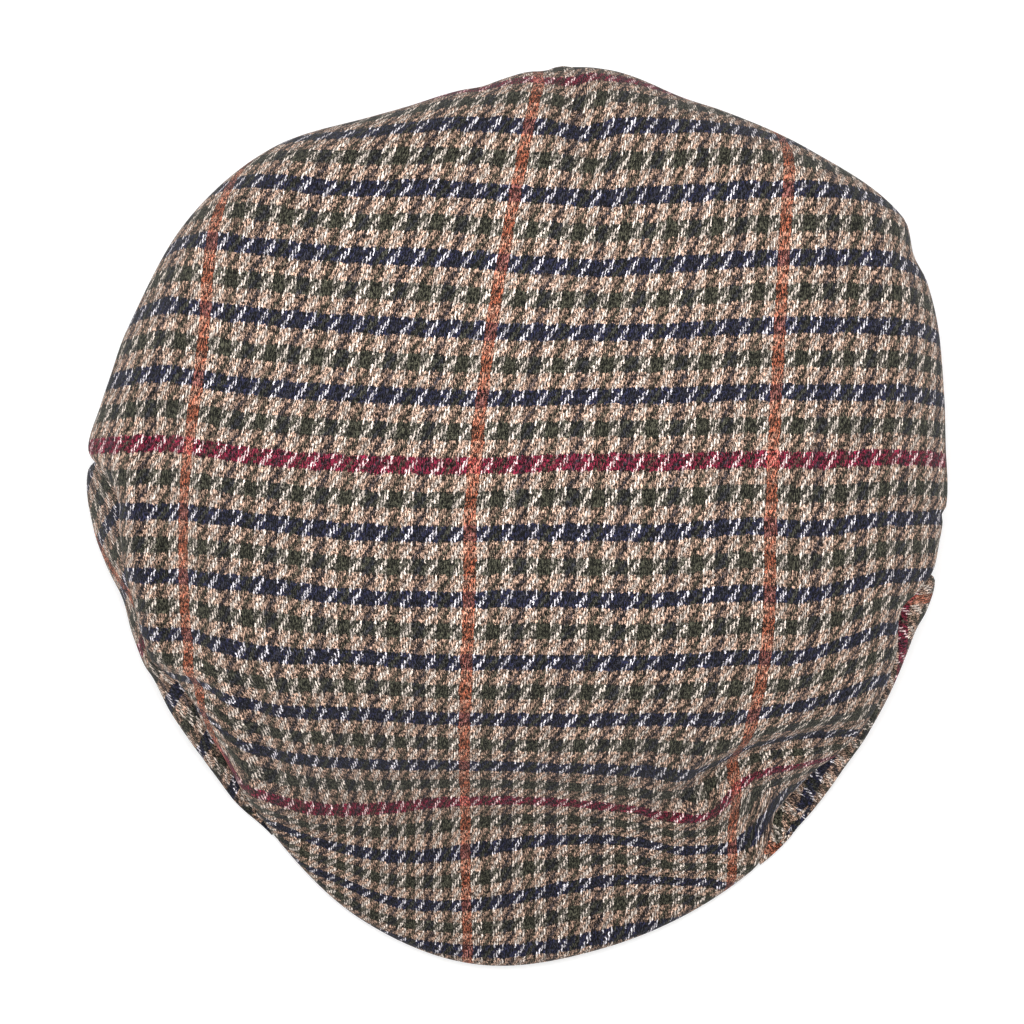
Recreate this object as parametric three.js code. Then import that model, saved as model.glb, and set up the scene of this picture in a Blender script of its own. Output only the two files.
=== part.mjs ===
// A tweed flat cap lying on a table, in millimetres, +Z up.
// The peak points to -Y, the back of the cap to +Y, and the hem lies on z = 0.
// The origin is under the middle of the cap's box.
//
// The cap is four pieces of cloth-covered work:
//   top_panel          one panel from the back, over the crown, down to the rim of the peak
//   side_panel_left    from the top panel's seam down to the hem of the head opening
//   side_panel_right   the same on the other side; the two meet at the centre back
//   peak               the stiff cloth-covered peak under the front of the top panel
//
// Every piece is a loft of sections. A section stands on a ray that leaves the crown's
// middle at an angle (0 = the wearer's left, +X; 90 = back; 270 = front), and its points
// are a distance out along the ray and a height.
import * as THREE from 'three';

// ---- driving sizes ----
const CLOTH = 2.0; // thickness of the doubled tweed
const HEM = 3.0; // thickness of the turned-up hem round the head opening
const GAP = 0.3; // space left between neighbouring pieces

const MIDDLE = { x: -0.3, y: 12.6 }; // where the rays of the sections start

// The head opening is an oval of about 57.5 cm round.
const OPENING = { middleY: 22, halfWidth: 87, halfLength: 96, hemHeight: 5 };

// The peak is a curved board. Its ends lie on the hem, its middle is arched.
const PEAK = {
  thickness: 3.2,
  middleAngle: 270,
  halfSpan: 57, // from the middle to where the rim meets the head opening, in degrees
  solidHalfSpan: 50, // from the middle to the board's own ends
  rimLift: 3, // height of the rim's underside at the middle of the front
  rootLift: 20, // height of the underside where the peak meets the head opening
  lip: 0.8, // how far the rim shows past the top panel's edge
  lipHeight: 1.7,
  lipDepth: 4.6, // width of the rebate that the top panel's edge sits in
  cornerLipDepth: 15, // the same under the side panels' tips
  edgeRise: 0.8, // top panel's widest line above its seam, at the rim
  rightNotch: 235, // where the side panels' tips end on the rim, on the wearer's right
  leftNotch: 302.5,
};

// The centre back seam lies a little to the side, where it pulls a notch into the edge.
const BACK_SEAM_ANGLE = 85;

// The cap's widest line, a row for each section round the cap.
//   reach  distance from MIDDLE to the outline
//   sink   how far the top panel's rolled edge lies below the crown's own slope
//   roll   width over which the top panel turns down to its edge
//   drop   how far the top panel goes on down, under its edge, to its seam
//   tuck   how far that seam lies inside the edge
const EDGE = [
  { angle: 0, reach: 129.6, sink: 12, roll: 30, drop: 12, tuck: 2.5 },
  { angle: 15, reach: 132.0, sink: 16, roll: 30, drop: 12, tuck: 2.5 },
  { angle: 28, reach: 137.5, sink: 20, roll: 30, drop: 12, tuck: 2.5 },
  { angle: 36, reach: 142.0, sink: 23, roll: 30, drop: 12, tuck: 2.5 },
  { angle: 50, reach: 132.8, sink: 26, roll: 30, drop: 12, tuck: 2.5 },
  { angle: 65, reach: 127.2, sink: 26, roll: 30, drop: 12, tuck: 2.5 },
  { angle: 78, reach: 129.2, sink: 26, roll: 30, drop: 12, tuck: 2.5 },
  { angle: 90, reach: 124.9, sink: 26, roll: 30, drop: 12, tuck: 2.5 },
  { angle: 102, reach: 120.0, sink: 27, roll: 28, drop: 12, tuck: 2.5 },
  { angle: 112, reach: 120.2, sink: 28, roll: 28, drop: 12, tuck: 2.5 },
  { angle: 125, reach: 125.6, sink: 28, roll: 28, drop: 12, tuck: 2.5 },
  { angle: 140, reach: 127.2, sink: 26, roll: 28, drop: 12, tuck: 2.5 },
  { angle: 155, reach: 126.3, sink: 22, roll: 28, drop: 12, tuck: 2.5 },
  { angle: 170, reach: 129.0, sink: 15, roll: 28, drop: 12, tuck: 2.5 },
  { angle: 182, reach: 129.0, sink: 11, roll: 26, drop: 11, tuck: 2.5 },
  { angle: 195, reach: 123.2, sink: 8, roll: 22, drop: 9, tuck: 3 },
  { angle: 208, reach: 127.2, sink: 7, roll: 14, drop: 6, tuck: 4 },
  { angle: 220, reach: 128.4, sink: 6, roll: 10, drop: 5, tuck: 4 },
  { angle: 228, reach: 133.0, sink: 4, roll: 6, drop: 4, tuck: 3 },
  { angle: 235, reach: 136.6, sink: 3.5, roll: 4, drop: 1.5, tuck: 0 },
  { angle: 250, reach: 146.8, sink: 3.5, roll: 4, drop: 1.5, tuck: 0 },
  { angle: 265, reach: 152.5, sink: 3.5, roll: 4, drop: 1.5, tuck: 0 },
  { angle: 280, reach: 149.6, sink: 3.5, roll: 4, drop: 1.5, tuck: 0 },
  { angle: 302.5, reach: 143.9, sink: 3.5, roll: 4, drop: 1.5, tuck: 0 },
  { angle: 310, reach: 140.8, sink: 4, roll: 7, drop: 4, tuck: 3 },
  { angle: 320, reach: 135.6, sink: 5, roll: 10, drop: 5, tuck: 4 },
  { angle: 335, reach: 131.0, sink: 6, roll: 16, drop: 6, tuck: 4 },
  { angle: 348, reach: 128.6, sink: 8, roll: 24, drop: 7, tuck: 3 },
];

// At the two front corners the side panels bulge out past the top panel's edge.
//   inset  how far that edge lies inside the outline
const CORNERS = [
  { angle: 0, inset: 0 },
  { angle: 200, inset: 0 },
  { angle: 205, inset: 2.5 },
  { angle: 208, inset: 9 },
  { angle: 213, inset: 16 },
  { angle: 220, inset: 15 },
  { angle: 226, inset: 10 },
  { angle: 230, inset: 5 },
  { angle: 235, inset: PEAK.lip },
  { angle: 302.5, inset: PEAK.lip },
  { angle: 306, inset: 6 },
  { angle: 311, inset: 12 },
  { angle: 316, inset: 12 },
  { angle: 324, inset: 7 },
  { angle: 334, inset: 6.5 },
  { angle: 341, inset: 7 },
  { angle: 346, inset: 1.5 },
  { angle: 349, inset: 0 },
];

// The crown along its middle line, from the front of the peak to the back.
//   height  of the cloth on the middle line
//   fall    how much lower it is 100 mm out to either side
const CROWN = [
  { y: -104, height: 8, fall: 4 },
  { y: -92, height: 19, fall: 6 },
  { y: -80, height: 31, fall: 7 },
  { y: -66, height: 45, fall: 8 },
  { y: -50, height: 55, fall: 9 },
  { y: -32, height: 62.5, fall: 10 },
  { y: -12, height: 68, fall: 10.5 },
  { y: 10, height: 73.5, fall: 11 },
  { y: 32, height: 79.5, fall: 12 },
  { y: 52, height: 84, fall: 13 },
  { y: 70, height: 86, fall: 14 },
  { y: 90, height: 85, fall: 13 },
  { y: 110, height: 81.5, fall: 12 },
  { y: 140, height: 74, fall: 11 },
];
const FALL_AT = 100; // distance from the middle line at which the fall is measured
const FALL_POWER = 2.2; // how the fall grows outward
const CROWN_BOW = 6; // how far the crown's front curls back at BOW_AT out to either side
const BOW_AT = 90;
const BREAK_SOFTNESS = 6; // radius of the break between the crown and the peak's cloth
const SLOPE_ALLOWANCE = 1.1; // upright thickness of a wall that lies on the peak's slope

// Dents and creases in the top panel: straight valleys with soft sides.
//   x1, y1, x2, y2  where the valley starts and ends
//   width           from its floor to where it fades out
//   depth           at its floor
const CREASES = [
  { x1: 10, y1: 142, x2: 20, y2: 108, width: 10, depth: 4 }, // pulled in by the back seam
  { x1: 20, y1: 108, x2: 21, y2: 72, width: 11, depth: 2.5 },
  { x1: 50, y1: -82, x2: 74, y2: -64, width: 9, depth: 5 }, // front fold on the +X side
  { x1: 74, y1: -64, x2: 98, y2: -60, width: 9, depth: 5 },
  { x1: -88, y1: -86, x2: -64, y2: -100, width: 6, depth: 1.5 }, // front crease on the -X side
  { x1: -103, y1: 30, x2: -100, y2: -30, width: 12, depth: 2.5 }, // along the -X edge
];

const SHOWING_INSET = 3; // where the top panel's edge lies this far in, the side panel shows
const BELLY_FULLNESS = 0.15; // 0 is a square lower corner, 0.5 a straight slope to the hem
const TIP_FOOT_HEIGHT = 0.5; // upright part of a side panel's foot on the peak
const TIP_WALL_SHARE = 0.4; // a side panel's wall where its tip is too low for two walls
const WIDEST_SHARE = 0.75; // height of a side panel's widest line, from its hem to its seam
const SIDE_TIP_HEIGHT = 3.4; // room for the side panels' tips between the rim and the top panel
const NOTCH_BLEND = 7; // degrees over which the top panel's edge rises from the rim to the crown

// ---- fineness of the solids ----
const SECTION_STEP = 5; // degrees between sections
const FINE_STEP = 2.5; // the same at the two front corners
const FINE_RANGES = [
  [200, 240],
  [300, 350],
];
const CROWN_STEPS = 14;
const CROWN_CROWDING = 0.8; // below 1, the steps get shorter toward the edge
const ROLL_STEPS = 4;
const TURN_STEPS = 2;
const BULGE_STEPS = 3;
const BELLY_STEPS = 4;
const PEAK_STEPS = 3;

const radians = (degrees) => (degrees * Math.PI) / 180;
const clamp01 = (value) => Math.min(1, Math.max(0, value));
const smoothStep = (value) => clamp01(value) ** 2 * (3 - 2 * clamp01(value));
const mix = (a, b, share) => a + (b - a) * share;

// ---- reading the tables ----

// A smooth curve through one column of a table. A stretch between two equal values is flat.
function readTable(rows, key, column, at, period = 0) {
  const row = (index) => {
    if (!period) return rows[Math.min(rows.length - 1, Math.max(0, index))];
    const turns = Math.floor(index / rows.length);
    const found = rows[index - turns * rows.length];
    return { ...found, [key]: found[key] + turns * period };
  };
  const value = period ? ((at % period) + period) % period : at;
  let index = rows.findIndex((candidate) => candidate[key] > value) - 1;
  if (index < -1) index = rows.length - 1;
  const [before, low, high, after] = [-1, 0, 1, 2].map((step) => row(index + step));
  const span = high[key] - low[key];
  if (span === 0) return low[column];
  const slope = (a, b) => (b[key] === a[key] ? 0 : (b[column] - a[column]) / (b[key] - a[key]));
  const flat = slope(low, high) === 0;
  const tangent = (a, middle, b) =>
    flat || slope(a, middle) === 0 || slope(middle, b) === 0 ? 0 : slope(a, b);
  const share = clamp01((value - low[key]) / span);
  const [square, cube] = [share ** 2, share ** 3];
  return (
    (2 * cube - 3 * square + 1) * low[column] +
    (cube - 2 * square + share) * span * tangent(before, low, high) +
    (3 * square - 2 * cube) * high[column] +
    (cube - square) * span * tangent(low, high, after)
  );
}

const edge = (column, angle) => readTable(EDGE, 'angle', column, angle, 360);
const inset = (angle) => readTable(CORNERS, 'angle', 'inset', angle, 360);
const crown = (column, y) => readTable(CROWN, 'y', column, y);

// ---- the head opening and the peak ----

// Distance from MIDDLE to the oval of the head opening.
function openingReach(angle) {
  const { middleY, halfWidth, halfLength } = OPENING;
  const [cos, sin] = [Math.cos(radians(angle)), Math.sin(radians(angle))];
  const offset = MIDDLE.y - middleY;
  const a = (cos / halfWidth) ** 2 + (sin / halfLength) ** 2;
  const b = (offset * sin) / halfLength ** 2;
  const c = (offset / halfLength) ** 2 - 1;
  return (-b + Math.sqrt(b * b - a * c)) / a;
}

// 1 at the middle of the front, 0 from the peak's ends round the back.
function archShare(angle) {
  const turn = (((angle - PEAK.middleAngle + 180) % 360) + 360) % 360 - 180;
  return Math.max(0, 1 - (turn / PEAK.halfSpan) ** 2);
}

// The rim follows the outline between the notches, and runs in to the opening at its ends.
function rimReach(angle) {
  const start = PEAK.middleAngle - PEAK.halfSpan;
  const end = PEAK.middleAngle + PEAK.halfSpan;
  const right = smoothStep((angle - start) / (PEAK.rightNotch - start));
  const left = smoothStep((end - angle) / (end - PEAK.leftNotch));
  return mix(openingReach(angle), edge('reach', angle), Math.min(left, right));
}

// Height of the peak's underside, a straight slope from its root to its rim.
function peakUnderside(angle, reach) {
  const root = openingReach(angle);
  const share = Math.max(0, reach - root) / Math.max(1, rimReach(angle) - root);
  return mix(PEAK.rootLift, PEAK.rimLift, share) * archShare(angle);
}

// ---- the top panel ----

// Depth of the dents and creases at a point.
function creaseDepth(x, y) {
  let depth = 0;
  for (const crease of CREASES) {
    const [alongX, alongY] = [crease.x2 - crease.x1, crease.y2 - crease.y1];
    const [fromX, fromY] = [x - crease.x1, y - crease.y1];
    const share = clamp01((fromX * alongX + fromY * alongY) / (alongX ** 2 + alongY ** 2));
    const distance = Math.hypot(fromX - share * alongX, fromY - share * alongY);
    const here = crease.depth * (1 - smoothStep(distance / crease.width));
    depth = Math.max(depth, here);
  }
  return depth;
}

// Height of the crown's cloth, before its edge rolls down.
function domeHeight(x, y) {
  const back = y - CROWN_BOW * (x / BOW_AT) ** 2;
  const fall = crown('fall', back) * (Math.abs(x) / FALL_AT) ** FALL_POWER;
  return crown('height', back) - fall - creaseDepth(x, y);
}

// Over the peak the cloth lies on the board; behind it the crown stands above the board.
function clothHeight(angle, reach) {
  const x = MIDDLE.x + reach * Math.cos(radians(angle));
  const y = MIDDLE.y + reach * Math.sin(radians(angle));
  const dome = domeHeight(x, y);
  if (archShare(angle) === 0) return dome;
  const board = peakUnderside(angle, reach) + PEAK.thickness;
  const onPeak = board + 2 * GAP + SLOPE_ALLOWANCE * CLOTH;
  const blend = Math.max(BREAK_SOFTNESS - Math.abs(dome - onPeak), 0) / BREAK_SOFTNESS;
  return Math.max(dome, onPeak) + (blend * blend * BREAK_SOFTNESS) / 4;
}

// 1 between the notches, where the top panel ends on the rim of the peak, 0 a little outside.
function onRim(angle) {
  const [right, left] = [angle - PEAK.rightNotch, PEAK.leftNotch - angle];
  return smoothStep(1 + Math.min(left, right) / NOTCH_BLEND);
}

// The top panel's rolled edge and, below and inside it, its seam. On the rim of the peak the
// seam lies on the lip; beside the notches it leaves room for the side panel's tip.
function topEdge(angle) {
  const reach = edge('reach', angle) - inset(angle);
  const seamOut = reach - edge('tuck', angle);
  const rim = onRim(angle);
  const lip = peakUnderside(angle, seamOut - CLOTH) + PEAK.lipHeight + GAP;
  const lowest = archShare(angle) > 0 ? lip + (1 - rim) * SIDE_TIP_HEIGHT : 0;
  const slope = clothHeight(angle, reach) - edge('sink', angle);
  const seamUp = mix(Math.max(slope - edge('drop', angle), lowest), lowest, rim);
  return { reach, level: Math.max(slope, seamUp + PEAK.edgeRise), seamOut, seamUp };
}

// The outer line of the top panel's section, from the crown's middle out to its seam.
function topOutline(angle) {
  const { reach, level, seamOut, seamUp } = topEdge(angle);
  const roll = edge('roll', angle);
  const line = [];
  for (let step = 0; step <= CROWN_STEPS; step += 1) {
    const out = (reach - roll) * (step / CROWN_STEPS) ** CROWN_CROWDING;
    line.push([out, clothHeight(angle, out)]);
  }
  for (let step = 1; step <= ROLL_STEPS; step += 1) {
    const share = Math.sin((step / ROLL_STEPS) * (Math.PI / 2));
    const out = reach - roll * (1 - share);
    line.push([out, mix(level, clothHeight(angle, out), Math.sqrt(1 - share * share))]);
  }
  for (let step = 1; step <= TURN_STEPS; step += 1) {
    const share = step / TURN_STEPS;
    line.push([mix(reach, seamOut, smoothStep(share)), mix(level, seamUp, share)]);
  }
  return line;
}

// ---- the side panels ----

// 1 where a side panel's lower edge lies on the peak's rim, 0 where it is the hem.
function overPeak(angle) {
  const turn = Math.abs(angle - PEAK.middleAngle);
  return smoothStep((PEAK.halfSpan - turn) / (PEAK.halfSpan - PEAK.solidHalfSpan));
}

// The outer line of a side panel's section, from the top panel's seam to its lower edge.
function sideOutline(angle) {
  const { seamOut, seamUp } = topEdge(angle);
  const top = seamUp - GAP;
  const share = overPeak(angle);
  const hidden = 1 - smoothStep(inset(angle) / SHOWING_INSET);
  const widest = Math.max(seamOut, edge('reach', angle) - edge('tuck', angle) * hidden);
  const footOut = mix(openingReach(angle) + HEM, rimReach(angle) - PEAK.lip, share);
  const footUp = (peakUnderside(angle, footOut - CLOTH) + PEAK.lipHeight + GAP) * share;
  const hemTop = footUp + mix(OPENING.hemHeight, TIP_FOOT_HEIGHT, share);
  const middle = mix(hemTop, top, WIDEST_SHARE);
  const line = [];
  for (let step = 0; step <= BULGE_STEPS; step += 1) {
    const turn = (step / BULGE_STEPS) * (Math.PI / 2);
    line.push([mix(seamOut, widest, Math.sin(turn)), mix(middle, top, Math.cos(turn))]);
  }
  const bend = [mix(widest, footOut, BELLY_FULLNESS), mix(hemTop, middle, BELLY_FULLNESS)];
  for (let step = 1; step <= BELLY_STEPS; step += 1) {
    const t = step / BELLY_STEPS;
    line.push([
      (1 - t) ** 2 * widest + 2 * t * (1 - t) * bend[0] + t * t * footOut,
      (1 - t) ** 2 * middle + 2 * t * (1 - t) * bend[1] + t * t * hemTop,
    ]);
  }
  line.push([footOut, footUp]);
  return line;
}

// ---- solids from sections ----

// Adds the inner side of a wall to its outer line, which makes a closed section.
// The last two points of the line may have a thickness of their own.
function walled(line, thickness, endThickness = thickness) {
  const inner = line.map(([out, up], index) => {
    const [before, after] = [line[Math.max(0, index - 1)], line[Math.min(line.length - 1, index + 1)]];
    const length = Math.hypot(after[0] - before[0], after[1] - before[1]);
    const wall = index < line.length - 2 ? thickness : endThickness;
    const [normalOut, normalUp] = [(after[1] - before[1]) / length, -(after[0] - before[0]) / length];
    return [Math.max(0, out + wall * normalOut), up + wall * normalUp];
  });
  if (line[0][0] === 0) inner[0] = [0, line[0][1] - thickness];
  return [...line, ...inner.reverse()];
}

// Joins closed sections into one solid. A point on the axis of the rays is shared by all.
function loft(angles, sectionAt, closed) {
  const sections = angles.map(sectionAt);
  const size = sections[0].length;
  const positions = [];
  const axisVertices = new Map();
  const vertices = sections.map((section, index) =>
    section.map(([out, up], place) => {
      if (out === 0 && axisVertices.has(place)) return axisVertices.get(place);
      const turn = radians(angles[index]);
      positions.push(MIDDLE.x + out * Math.cos(turn), MIDDLE.y + out * Math.sin(turn), up);
      const vertex = positions.length / 3 - 1;
      if (out === 0) axisVertices.set(place, vertex);
      return vertex;
    }),
  );
  const faces = [];
  const addFace = (a, b, c) => {
    if (a !== b && b !== c && c !== a) faces.push(a, b, c);
  };
  const bays = closed ? vertices.length : vertices.length - 1;
  for (let bay = 0; bay < bays; bay += 1) {
    const [near, far] = [vertices[bay], vertices[(bay + 1) % vertices.length]];
    for (let place = 0; place < size; place += 1) {
      const next = (place + 1) % size;
      if (near[place] === far[place] && near[next] === far[next]) continue;
      addFace(near[place], near[next], far[next]);
      addFace(near[place], far[next], far[place]);
    }
  }
  if (!closed) {
    addEnd(vertices[0], addFace, false);
    addEnd(vertices.at(-1), addFace, true);
  }
  const geometry = new THREE.BufferGeometry();
  geometry.setAttribute('position', new THREE.Float32BufferAttribute(positions, 3));
  geometry.setIndex(faces);
  geometry.computeVertexNormals();
  return geometry;
}

// Closes one end of an open loft with a strip between the section's two lines.
function addEnd(vertices, addFace, far) {
  const last = vertices.length - 1;
  for (let place = 0; place < vertices.length / 2 - 1; place += 1) {
    const corners = [place, place + 1, last - place - 1, last - place].map((at) => vertices[at]);
    if (!far) corners.reverse();
    addFace(corners[0], corners[1], corners[2]);
    addFace(corners[0], corners[2], corners[3]);
  }
}

// The angles of all sections from one angle to another, the same ones for every piece, so that
// the facets on both sides of a seam match.
function sectionAngles(from, to) {
  const angles = [from];
  while (angles.at(-1) < to) {
    const last = angles.at(-1);
    const fine = FINE_RANGES.some(([low, high]) => last % 360 >= low && last % 360 < high);
    const step = fine ? FINE_STEP : SECTION_STEP;
    angles.push(Math.min(to, (Math.floor(last / step + 1e-6) + 1) * step));
  }
  return angles;
}

function topPanel() {
  const angles = sectionAngles(0, 360).slice(0, -1);
  return loft(angles, (angle) => walled(topOutline(angle), CLOTH), true);
}

function sidePanel(from, to) {
  const sectionAt = (angle) => {
    const outline = sideOutline(angle % 360);
    const height = outline[0][1] - outline.at(-1)[1];
    const wall = Math.min(CLOTH, height * TIP_WALL_SHARE);
    return walled(outline, wall, mix(HEM, wall, overPeak(angle % 360)));
  };
  return loft(sectionAngles(from, to), sectionAt, false);
}

// The peak's section: a flat board with a rebate on its upper rim for the top panel's edge.
function peakSection(angle) {
  const [root, rim] = [openingReach(angle), rimReach(angle)];
  const depth = mix(PEAK.cornerLipDepth, PEAK.lipDepth, onRim(angle));
  const rebate = rim - Math.min(depth, (rim - root) / 2);
  const at = (out, up) => [out, peakUnderside(angle, out) + up];
  const upper = [
    ...spreadBoard(root, rebate, PEAK_STEPS).map((out) => at(out, PEAK.thickness)),
    at(rebate, PEAK.lipHeight),
    at(rim - PEAK.lip / 3, PEAK.lipHeight),
    at(rim, PEAK.lipHeight / 2),
  ];
  const lower = spreadBoard(root, rim - PEAK.lip, upper.length - 1).map((out) => at(out, 0));
  return [...upper, ...lower.reverse()];
}

function spreadBoard(from, to, steps) {
  return Array.from({ length: steps + 1 }, (_, index) => mix(from, to, index / steps));
}

function peak() {
  const { middleAngle, solidHalfSpan } = PEAK;
  const angles = sectionAngles(middleAngle - solidHalfSpan, middleAngle + solidHalfSpan);
  return loft(angles, peakSection, false);
}

// ---- the cap ----

// Half the gap between the side panels at the centre back, as an angle.
const BACK_GAP = (GAP / 2 / edge('reach', BACK_SEAM_ANGLE)) * (180 / Math.PI);

function piece(name, geometry, color) {
  const material = new THREE.MeshStandardMaterial({ color, roughness: 0.95, metalness: 0 });
  const mesh = new THREE.Mesh(geometry, material);
  mesh.name = name;
  return mesh;
}

const TWEED = 0x7a6a5a;
const backSeam = { left: 360 + BACK_SEAM_ANGLE - BACK_GAP, right: BACK_SEAM_ANGLE + BACK_GAP };
const tips = { left: PEAK.leftNotch + FINE_STEP, right: PEAK.rightNotch - FINE_STEP };

const cap = new THREE.Group();
cap.name = 'flat_cap';
cap.add(piece('top_panel', topPanel(), TWEED));
cap.add(piece('side_panel_left', sidePanel(tips.left, backSeam.left), TWEED));
cap.add(piece('side_panel_right', sidePanel(backSeam.right, tips.right), TWEED));
cap.add(piece('peak', peak(), TWEED));

export default cap;
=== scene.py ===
"""A tweed flat cap lying on a table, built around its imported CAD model.

The shapes are worked out in millimetres, and the meshes are made in metres. The pieces' sizes
are the CAD's, and the tables of the cloth's form add how it rolls, slumps and folds. The peak
points to -Y, and the wearer's left is +X.
"""

import math

import bpy
import numpy as np
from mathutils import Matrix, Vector


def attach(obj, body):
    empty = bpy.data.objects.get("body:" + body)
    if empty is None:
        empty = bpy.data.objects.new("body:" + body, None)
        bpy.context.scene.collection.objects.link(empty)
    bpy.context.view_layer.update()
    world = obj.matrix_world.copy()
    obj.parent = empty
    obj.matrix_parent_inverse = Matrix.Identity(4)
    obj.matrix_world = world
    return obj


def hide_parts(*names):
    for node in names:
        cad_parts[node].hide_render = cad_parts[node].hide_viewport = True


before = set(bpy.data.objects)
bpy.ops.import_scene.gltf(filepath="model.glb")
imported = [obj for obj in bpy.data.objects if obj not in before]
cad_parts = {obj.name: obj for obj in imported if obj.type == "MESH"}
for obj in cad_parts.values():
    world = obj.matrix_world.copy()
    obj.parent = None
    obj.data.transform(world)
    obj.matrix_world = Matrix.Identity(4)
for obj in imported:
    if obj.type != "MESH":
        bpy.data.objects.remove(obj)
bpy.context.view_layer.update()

MM = 0.001

# ---- sizes shared with the CAD ----

CLOTH = 2.0  # thickness of the doubled tweed
HEM = 3.0  # thickness of the side panels at the hem
GAP = 0.3  # between pieces that meet
MIDDLE = (-0.3, 12.6)  # where the rays of the sections start
OPENING = {"middle_y": 22, "half_width": 87, "half_length": 96, "hem_height": 5}
PEAK = {
    "thickness": 3.2,
    "middle_angle": 270,
    "half_span": 57,
    "solid_half_span": 50,
    "rim_lift": 3,
    "root_lift": 20,
    "lip": 0.8,
    "lip_height": 1.7,
    "lip_depth": 4.6,
    "corner_lip_depth": 15,
    "edge_rise": 0.8,
    "right_notch": 235,
    "left_notch": 302.5,
}
BACK_SEAM_ANGLE = 85

# ---- the form of the cloth, finer than the CAD's ----

# The cap's widest line, by the angle of the section round MIDDLE. reach is how far out it lies,
# sink how far below the crown's own curve, and roll how far in from it the cloth starts to turn
# down. The top panel's seam lies drop below it and tuck further in.
EDGE_COLUMNS = ("angle", "reach", "sink", "roll", "drop", "tuck")
EDGE = [
    (0, 129.6, 12, 30, 12, 2.5),
    (15, 131.6, 14, 24, 12, 2.5),
    (28, 136.2, 16, 19, 12, 2.5),
    (31.5, 136.1, 17, 18, 12, 2.5),
    (36, 139.3, 18, 18, 12, 2.5),
    (50, 131.2, 20, 18, 12, 2.5),
    (65, 125.5, 20, 17, 12, 2.5),
    (78, 127.2, 20, 17, 12, 2.5),
    (90, 123.2, 20, 17, 12, 2.5),
    (102, 118.1, 20, 17, 12, 2.5),
    (112, 118.2, 20, 17, 12, 2.5),
    (125, 123.6, 20, 17, 12, 2.5),
    (140, 125.4, 19, 18, 12, 2.5),
    (155, 125.0, 17, 20, 12, 2.5),
    (170, 128.5, 13, 22, 12, 2.5),
    (173.5, 129.0, 13, 24, 11, 2.5),
    (177, 129.0, 8, 11, 8, 2.5),
    (182, 129.0, 7, 8, 7, 2.5),
    (189, 125.9, 6.5, 8, 7, 2.7),
    (195, 123.2, 6, 8, 7, 3),
    (208, 127.2, 7, 9, 8, 4),
    (220, 128.4, 6, 8, 6, 4),
    (228, 133.0, 4, 6, 4, 3),
    (235, 136.6, 3.5, 4, 1.5, 0),
    (250, 146.8, 3.5, 4, 1.5, 0),
    (265, 152.5, 3.5, 4, 1.5, 0),
    (280, 149.6, 3.5, 4, 1.5, 0),
    (302.5, 143.9, 3.5, 4, 1.5, 0),
    (310, 140.8, 4, 7, 4, 3),
    (320, 135.6, 5, 10, 5, 4),
    (335, 131.0, 6, 16, 6, 4),
    (348, 128.6, 8, 24, 7, 3),
]

# How far the top panel's edge lies inside the widest line: most where the side panels show.
CORNER_COLUMNS = ("angle", "inset")
CORNERS = [
    (0, 0),
    (7, 1.0),
    (14, 0.6),
    (22, 0),
    (62, -1.0),
    (70, 0),
    (79, 0),
    (82.5, -0.7),
    (84.5, -1.8),
    (86.5, -0.4),
    (89, 0),
    (92, 0.7),
    (95, 1.2),
    (98, 0.2),
    (101, -0.2),
    (106, 0),
    (157, 0),
    (163, 0.9),
    (168, 0.8),
    (171, -0.3),
    (173.4, -0.7),
    (174.6, 1),
    (176, 5.5),
    (177.5, 8.5),
    (181, 11),
    (185.5, 9.2),
    (189.5, 6.4),
    (193.5, 4.5),
    (197.5, 4),
    (204, 4.8),
    (206.5, 7.2),
    (208.5, 9.8),
    (212, 11),
    (216, 9),
    (221, 7),
    (226, 4.6),
    (230, 2.2),
    (235, PEAK["lip"]),
    (302.5, PEAK["lip"]),
    (305, 3),
    (307, 5.5),
    (309, 9),
    (312, 10.5),
    (318, 9.5),
    (321, 7),
    (325, 5.2),
    (332, 5.4),
    (338, 6.4),
    (342, 8.8),
    (344.5, 8.5),
    (347.5, 4),
    (350.5, 1.2),
    (354, 0.9),
    (356.8, 0.7),
    (358.2, 1.3),
    (359.2, 0),
]

# Where the side panels bulge out past the widest line: how far, and how much they sag there.
BULGE_COLUMNS = ("angle", "extra", "sag")
BULGES = [
    (0, 0, 0),
    (172.5, 0, 0),
    (174, 2.5, 0.5),
    (175.3, 6.2, 1),
    (177, 6.6, 1),
    (180, 6.0, 1),
    (183, 5.1, 1),
    (186, 5.3, 1),
    (189, 5.4, 1),
    (195, 5.2, 1),
    (198, 5.2, 1),
    (201, 4.2, 0.8),
    (204, 2.9, 0.5),
    (207, 1.2, 0.2),
    (211, 0.3, 0),
    (218, 1.1, 0),
    (222, 1.6, 0),
    (228, 1.6, 0),
    (231, 1.1, 0),
    (234, 0.2, 0),
    (240, 0, 0),
    (320, 0, 0),
    (324, 0.4, 0),
    (328, 0, 0),
    (338, 0.4, 0),
    (342, 1.0, 0),
    (345, 2.9, 0),
    (349, 4.0, 0),
    (350.5, 1.0, 0),
    (351.5, 0, 0),
]

# The crown along its middle line: height there, and its fall 100 mm out to either side.
CROWN_COLUMNS = ("y", "height", "fall")
CROWN = [
    (-104, 8, 4),
    (-92, 19, 6),
    (-80, 31, 7),
    (-66, 45, 8),
    (-50, 55, 9),
    (-32, 62.5, 10),
    (-12, 68, 10.5),
    (10, 73.5, 11),
    (32, 79.5, 12),
    (52, 84, 13),
    (70, 86, 14),
    (90, 85, 13),
    (110, 81.5, 12),
    (140, 74, 11),
]
FALL_AT = 100
FALL_POWER = 2.2
CROWN_BOW = 6  # how far the crown's line bows to the back, BOW_AT out to either side
BOW_AT = 90
BREAK_SOFTNESS = 6  # height over which the crown and the cloth on the peak run together
SLOPE_ALLOWANCE = 1.1  # a sloping wall's upright thickness, as a share of its thickness

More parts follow.
